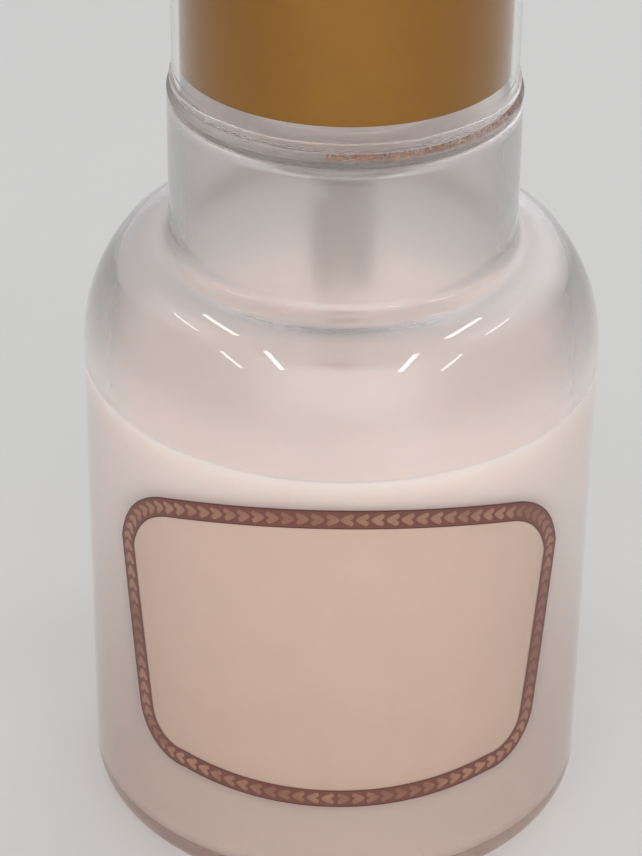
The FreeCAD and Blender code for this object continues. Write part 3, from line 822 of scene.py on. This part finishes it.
def thicken_film(bm, film):
    """Face a bent film outwards and give it its thickness inwards."""
    bm.normal_update()
    facing = sum(face.normal.xy.dot(face.calc_center_median().xy) for face in bm.faces)
    if facing < 0:
        bmesh.ops.reverse_faces(bm, faces=bm.faces[:])
    bmesh.ops.solidify(bm, geom=bm.faces[:], thickness=film)


def straight_points(start, end, count):
    """Points from just after start to end, on a straight line."""
    return [tuple(Vector(start).lerp(Vector(end), i / count)) for i in range(1, count + 1)]


class BOTTLE_OT_front_label(bpy.types.Operator):
    """Print the front label: a peach film with a border of small leaves"""

    bl_idname = "pump_bottle.print_front_label"
    bl_label = "Print the front label"

    def execute(self, context):
        sizes = context.scene.bottle_sizes
        label = context.scene.label_sizes
        tints = context.scene.bottle_colours
        top = label.half_width - label.top_corner
        foot = label.half_width - label.side_lean
        base = foot - label.base_corner
        shoulder = label.top_height - label.top_sag
        heel = label.base_height + label.base_sag
        bend = math.sqrt(0.5)
        top_via = (top + label.top_corner * 0.69, label.side_top + (shoulder - label.side_top) * 0.6)
        base_via = (base + label.base_corner * bend, label.side_base - (label.side_base - heel) * bend)
        side = (label.half_width, label.side_top)
        side_foot = (foot, label.side_base)
        arch_half = ARCH_POINTS // 2
        foot_arc = arc_points((-base, heel), (0.0, label.base_height), (base, heel), ARCH_POINTS)
        top_arc = arc_points((top, shoulder), (0.0, label.top_height), (-top, shoulder), ARCH_POINTS)
        outline = foot_arc[arch_half - 1 :]
        outline += arc_points((base, heel), base_via, side_foot, CORNER_POINTS)
        outline += straight_points(side_foot, side, SIDE_POINTS)
        outline += arc_points(side, top_via, (top, shoulder), CORNER_POINTS)
        outline += top_arc[:arch_half]
        outline += [(-along, z) for along, z in reversed(outline[1:-1])]
        bm = bmesh.new()
        rim = [bm.verts.new((along, 0.0, z)) for along, z in outline]
        face = bm.faces.new(rim)
        bm.normal_update()
        half = len(rim) // 2
        run = [0.0]
        for here, there in zip(rim[:half], rim[1:]):
            run.append(run[-1] + (there.co - here.co).length)
        reach = {vert: run[min(i, len(rim) - i)] for i, vert in enumerate(rim)}
        ring = bmesh.ops.inset_region(
            bm, faces=[face], thickness=label.border, use_even_offset=True, use_boundary=True
        )["faces"]
        chart = bm.loops.layers.uv.new("border")
        for quad in ring:
            quad.material_index = 1
            for loop in quad.loops:
                outer = loop.vert in reach
                owner = loop.vert
                if not outer:
                    spokes = [edge.other_vert(loop.vert) for edge in loop.vert.link_edges]
                    owner = next(vert for vert in spokes if vert in reach)
                loop[chart].uv = (reach[owner] / run[-1], 0.0 if outer else 1.0)
        slice_film(bm, label.half_width, FILM_STRIP)
        bmesh.ops.recalc_face_normals(bm, faces=bm.faces[:])
        bend_film(bm, sizes.body_radius + label.adhesive + label.film, -1.0)
        thicken_film(bm, label.film)
        panel = printed_film("peach label film", tints.panel, cover=0.36)
        motifs = round(run[-1] / label.motif)
        border = leaf_border("leaf border print", tints.border, tints.border_line, tints.leaf, motifs)
        finish_piece(bm, "front_label_film", "bottle", [panel, border], ["front_label"])
        return {"FINISHED"}


class BOTTLE_OT_back_label(bpy.types.Operator):
    """Stick the plain back label"""

    bl_idname = "pump_bottle.stick_back_label"
    bl_label = "Stick the back label"

    def execute(self, context):
        sizes = context.scene.bottle_sizes
        label = context.scene.label_sizes
        tints = context.scene.bottle_colours
        bm = bmesh.new()
        base = low("back_label", 2)
        top = high("back_label", 2)
        half = label.back_half_width
        places = ((-half, base), (half, base), (half, top), (-half, top))
        corners = [bm.verts.new((x, 0.0, z)) for x, z in places]
        bm.faces.new(corners)
        bmesh.ops.bevel(
            bm,
            geom=corners,
            offset=label.back_corner,
            offset_type="OFFSET",
            segments=10,
            profile=0.5,
            affect="VERTICES",
            material=-1,
        )
        slice_film(bm, half, FILM_STRIP)
        bend_film(bm, sizes.body_radius + label.adhesive + label.film, 1.0)
        thicken_film(bm, label.film)
        film = printed_film("plain back film", tints.back, cover=0.6)
        finish_piece(bm, "back_label_film", "bottle", [film], ["back_label"])
        return {"FINISHED"}


class BOTTLE_OT_collar(bpy.types.Operator):
    """Draw the satin gold collar sleeve"""

    bl_idname = "pump_bottle.draw_collar"
    bl_label = "Draw the gold collar"

    def execute(self, context):
        sizes = context.scene.bottle_sizes
        pump = context.scene.pump_sizes
        tints = context.scene.bottle_colours
        outer = high("collar_sleeve", 0)
        base = low("collar_sleeve", 2)
        top = high("collar_sleeve", 2)
        inner = outer - pump.sleeve_wall
        ring = outer - pump.sleeve_round
        bead = pump.sleeve_wall / 2
        bm = bmesh.new()
        lay_profile(
            bm,
            (outer, base + bead),
            (outer, top - pump.sleeve_round),
            (ring, top - pump.sleeve_round, 90.0),
            (pump.sleeve_hole + bead, top),
            (pump.sleeve_hole + bead, top - bead, 180.0),
            (ring, top - pump.sleeve_wall),
            (ring, top - pump.sleeve_round, -90.0),
            (inner, base + bead),
            (outer - bead, base + bead, 180.0),
        )
        turn_profile(bm, sizes.segments)
        gold = satin_gold("satin gold", tints.gold)
        finish_piece(bm, "gold_collar", "closure", [gold], ["collar_sleeve"])
        return {"FINISHED"}


class BOTTLE_OT_overcap(bpy.types.Operator):
    """Mould the clear overcap with its beaded rim"""

    bl_idname = "pump_bottle.mould_overcap"
    bl_label = "Mould the overcap"

    def execute(self, context):
        sizes = context.scene.bottle_sizes
        pump = context.scene.pump_sizes
        tints = context.scene.bottle_colours
        base = low("overcap", 2)
        top = high("overcap", 2)
        rim = high("overcap", 0)
        outer = rim - pump.rim_step
        inner = outer - pump.overcap_wall
        inner_round = pump.overcap_round - pump.overcap_wall
        under = top - pump.overcap_roof
        bm = bmesh.new()
        lay_profile(
            bm,
            (inner, base),
            (rim - pump.rim_round, base),
            (rim - pump.rim_round, base + pump.rim_round, 90.0),
            (rim, base + pump.rim_height),
            (outer, base + pump.rim_height, 90.0),
            (outer, top - pump.overcap_round),
            (outer - pump.overcap_round, top - pump.overcap_round, 90.0),
            (0.0, top),
        )
        lay_profile(
            bm,
            (0.0, under),
            (inner - inner_round, under),
            (inner - inner_round, under - inner_round, -90.0),
            (inner, base),
        )
        turn_profile(bm, sizes.segments)
        material = clear_plastic(
            "clear overcap plastic", tints.overcap, OVERCAP_INDEX, waves=0.05, gloss=0.01, rubbing=0.0
        )
        for face in bm.faces:
            if face.calc_center_median().z < base + pump.rim_round:
                face.material_index = 1
        matte = clear_plastic(
            "matte overcap foot", tints.matte, FOOT_INDEX, waves=0.25, gloss=0.65, rubbing=0.1
        )
        finish_piece(bm, "clear_overcap", "overcap", [material, matte], ["overcap"])
        return {"FINISHED"}


class BOTTLE_OT_spring(bpy.types.Operator):
    """Wind the steel return spring"""

    bl_idname = "pump_bottle.wind_spring"
    bl_label = "Wind the return spring"

    def execute(self, context):
        pump = context.scene.pump_sizes
        tints = context.scene.bottle_colours
        wire = pump.spring_wire / 2
        lower = low("return_spring", 2) + wire
        upper = high("return_spring", 2) - wire
        steps = round(pump.spring_turns * SPRING_STEPS)
        bm = bmesh.new()
        upright_circle(bm, 14, wire)
        bmesh.ops.translate(bm, verts=bm.verts[:], vec=(pump.spring_radius, 0.0, lower))
        sweep(bm, bm.verts[:] + bm.edges[:], math.tau * pump.spring_turns, steps, upper - lower)
        close_ends(bm)
        steel = bright_steel("bright steel", tints.steel)
        spring = finish_piece(bm, "wound_spring", "pump", [steel], ["return_spring"])
        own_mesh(spring)
        return {"FINISHED"}


class BOTTLE_OT_residue(bpy.types.Operator):
    """Leave a dried line of essence in the seam under the overcap"""

    bl_idname = "pump_bottle.leave_residue"
    bl_label = "Leave the dried residue"

    def execute(self, context):
        sizes = context.scene.bottle_sizes
        tints = context.scene.bottle_colours
        bm = bmesh.new()
        upright_circle(bm, 10, sizes.residue)
        bmesh.ops.scale(bm, verts=bm.verts[:], vec=(1.0, 1.0, 1.6))
        middle = (sizes.neck_radius - sizes.residue_inset, 0.0, sizes.neck_height - sizes.residue_drop)
        bmesh.ops.translate(bm, verts=bm.verts[:], vec=middle)
        start = Matrix.Rotation(FRONT + sizes.residue_start, 3, "Z")
        bmesh.ops.rotate(bm, verts=bm.verts[:], cent=(0, 0, 0), matrix=start)
        sweep(bm, bm.verts[:] + bm.edges[:], sizes.residue_span, RESIDUE_STEPS)
        close_ends(bm)
        crust = dried_residue("dried residue", tints.residue)
        finish_piece(bm, "dried_residue", "bottle", [crust])
        return {"FINISHED"}


class BOTTLE_OT_mouldings(bpy.types.Operator):
    """Give the carried-over pump mouldings their finishes"""

    bl_idname = "pump_bottle.finish_mouldings"
    bl_label = "Finish the pump mouldings"

    def execute(self, context):
        tints = context.scene.bottle_colours
        white = moulded_plastic("white moulded plastic", tints.white, 0.32)
        natural = moulded_plastic("natural moulded plastic", tints.natural, 0.22, see_through=0.95)
        tube = clear_plastic(
            "clear tube plastic", tints.tube, TUBE_INDEX, waves=0.1, gloss=0.15, rubbing=0.0
        )
        seal = moulded_plastic("soft seal plastic", tints.seal, 0.5)
        gold = satin_gold("satin gold", tints.gold)
        steel = bright_steel("bright steel", tints.steel)
        finishes = {
            "closure": white,
            "turret": white,
            "actuator": white,
            "nozzle_insert": white,
            "stem": natural,
            "stem_plug": natural,
            "pump_housing": natural,
            "dip_tube": tube,
            "gasket": seal,
            "stem_seal": seal,
            "piston": seal,
            "actuator_shell": gold,
            "inlet_ball": steel,
        }
        for node, material in finishes.items():
            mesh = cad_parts[node].data
            mesh.materials.clear()
            mesh.materials.append(material)
        return {"FINISHED"}


def area_lamp(name, place, width, height, watts):
    """Rectangular lamp aimed at the bottle's body."""
    data = bpy.data.lights.new(name, "AREA")
    data.shape = "RECTANGLE"
    data.size = width
    data.size_y = height
    data.energy = watts
    lamp = bpy.data.objects.new(name, data)
    lamp.location = place
    lamp.rotation_euler = (Vector(LAMP_AIM) - Vector(place)).to_track_quat("-Z", "Y").to_euler()
    bpy.context.scene.collection.objects.link(lamp)
    return lamp


def strip_lamp(name, across, along):
    """Long overhead lamp that runs from front to back and faces straight down."""
    place = (across, along, STRIP_HEIGHT)
    lamp = area_lamp(name, place, STRIP_WIDTH, STRIP_LENGTH, STRIP_WATTS)
    lamp.rotation_euler = (0.0, 0.0, 0.0)
    return lamp


class BOTTLE_OT_stage(bpy.types.Operator):
    """Set the pale floor, the soft light and the camera"""

    bl_idname = "pump_bottle.set_stage"
    bl_label = "Set the stage"

    def execute(self, context):
        scene = context.scene
        tints = scene.bottle_colours
        bm = bmesh.new()
        bmesh.ops.create_circle(bm, cap_ends=True, segments=96, radius=FLOOR_RADIUS)
        mesh = bpy.data.meshes.new("floor")
        bm.to_mesh(mesh)
        bm.free()
        floor = bpy.data.objects.new("floor", mesh)
        scene.collection.objects.link(floor)
        material, tree, shader = fresh_material("pale floor")
        dial(shader, {"Base Color": rgba(tints.floor), "Roughness": 0.55})
        mesh.materials.append(material)

        world = bpy.data.worlds.new("soft studio")
        world.use_nodes = True
        tree = world.node_tree
        light = tree.nodes["Background"]
        dial(light, {"Color": (1.0, 0.985, 0.97, 1.0), "Strength": 0.53})
        shown = tree.nodes.new("ShaderNodeBackground")
        dial(shown, {"Color": rgba(tints.backdrop), "Strength": 1.0})
        path = tree.nodes.new("ShaderNodeLightPath")
        seen = calc(tree, "MAXIMUM", path.outputs["Is Camera Ray"], path.outputs["Is Glossy Ray"])
        seen = calc(tree, "MAXIMUM", seen, path.outputs["Is Transmission Ray"])
        mix = tree.nodes.new("ShaderNodeMixShader")
        tree.links.new(seen, mix.inputs["Fac"])
        tree.links.new(light.outputs["Background"], mix.inputs[1])
        tree.links.new(shown.outputs["Background"], mix.inputs[2])
        tree.links.new(mix.outputs["Shader"], tree.nodes["World Output"].inputs["Surface"])
        scene.world = world
        soft_box = area_lamp("soft_box", (0.05, -1.20, 0.45), width=1.6, height=0.7, watts=8.2)
        soft_box.data.color = (1.0, 0.97, 0.94)
        back_fill = area_lamp("back_fill", (0.55, 1.10, 0.90), width=1.2, height=0.6, watts=3.5)
        soft_box.visible_glossy = False
        back_fill.visible_glossy = False
        for column in (-2, -1, 1, 2):
            for row in (0, 1):
                strip_lamp(f"strip_{column}_{row}", column * STRIP_SPREAD, -row * STRIP_STEP)

        data = bpy.data.cameras.new("camera")
        data.sensor_width = 36.0
        data.lens = CAMERA_LENS
        camera = bpy.data.objects.new("camera", data)
        camera.location = CAMERA_PLACE
        aim = Matrix.Rotation(CAMERA_PITCH, 3, "X") @ Matrix.Rotation(CAMERA_ROLL, 3, "Z")
        camera.rotation_euler = aim.to_euler()
        scene.collection.objects.link(camera)
        scene.camera = camera
        scene.view_settings.view_transform = "Standard"
        scene.cycles.max_bounces = LIGHT_BOUNCES
        scene.cycles.transmission_bounces = LIGHT_BOUNCES
        return {"FINISHED"}


OPERATORS = (
    BOTTLE_OT_stage,
    BOTTLE_OT_blow,
    BOTTLE_OT_fill,
    BOTTLE_OT_front_label,
    BOTTLE_OT_back_label,
    BOTTLE_OT_collar,
    BOTTLE_OT_overcap,
    BOTTLE_OT_spring,
    BOTTLE_OT_residue,
    BOTTLE_OT_mouldings,
)
GROUPS = (
    ("bottle_sizes", BottleSizes),
    ("label_sizes", LabelSizes),
    ("pump_sizes", PumpSizes),
    ("bottle_colours", BottleColours),
)


class BOTTLE_PT_panel(bpy.types.Panel):
    """Sizes, colours and steps of the pump bottle"""

    bl_idname = "BOTTLE_PT_panel"
    bl_label = "Pump bottle"
    bl_space_type = "VIEW_3D"
    bl_region_type = "UI"
    bl_category = "Pump bottle"

    def draw(self, context):
        for operator in OPERATORS:
            self.layout.operator(operator.bl_idname)
        for name, group in GROUPS:
            column = self.layout.column()
            for key in group.__annotations__:
                column.prop(getattr(context.scene, name), key)


def register():
    """Register every class and hang the groups on the scene."""
    for name, group in GROUPS:
        bpy.utils.register_class(group)
        setattr(bpy.types.Scene, name, PointerProperty(type=group))
    for operator in OPERATORS:
        bpy.utils.register_class(operator)
    bpy.utils.register_class(BOTTLE_PT_panel)


def unregister():
    """Undo register."""
    bpy.utils.unregister_class(BOTTLE_PT_panel)
    for operator in reversed(OPERATORS):
        bpy.utils.unregister_class(operator)
    for name, group in reversed(GROUPS):
        delattr(bpy.types.Scene, name)
        bpy.utils.unregister_class(group)


def main():
    """Build everything in order."""
    register()
    for operator in OPERATORS:
        area, step = operator.bl_idname.split(".")
        getattr(getattr(bpy.ops, area), step)()


if __name__ == "__main__":
    main()
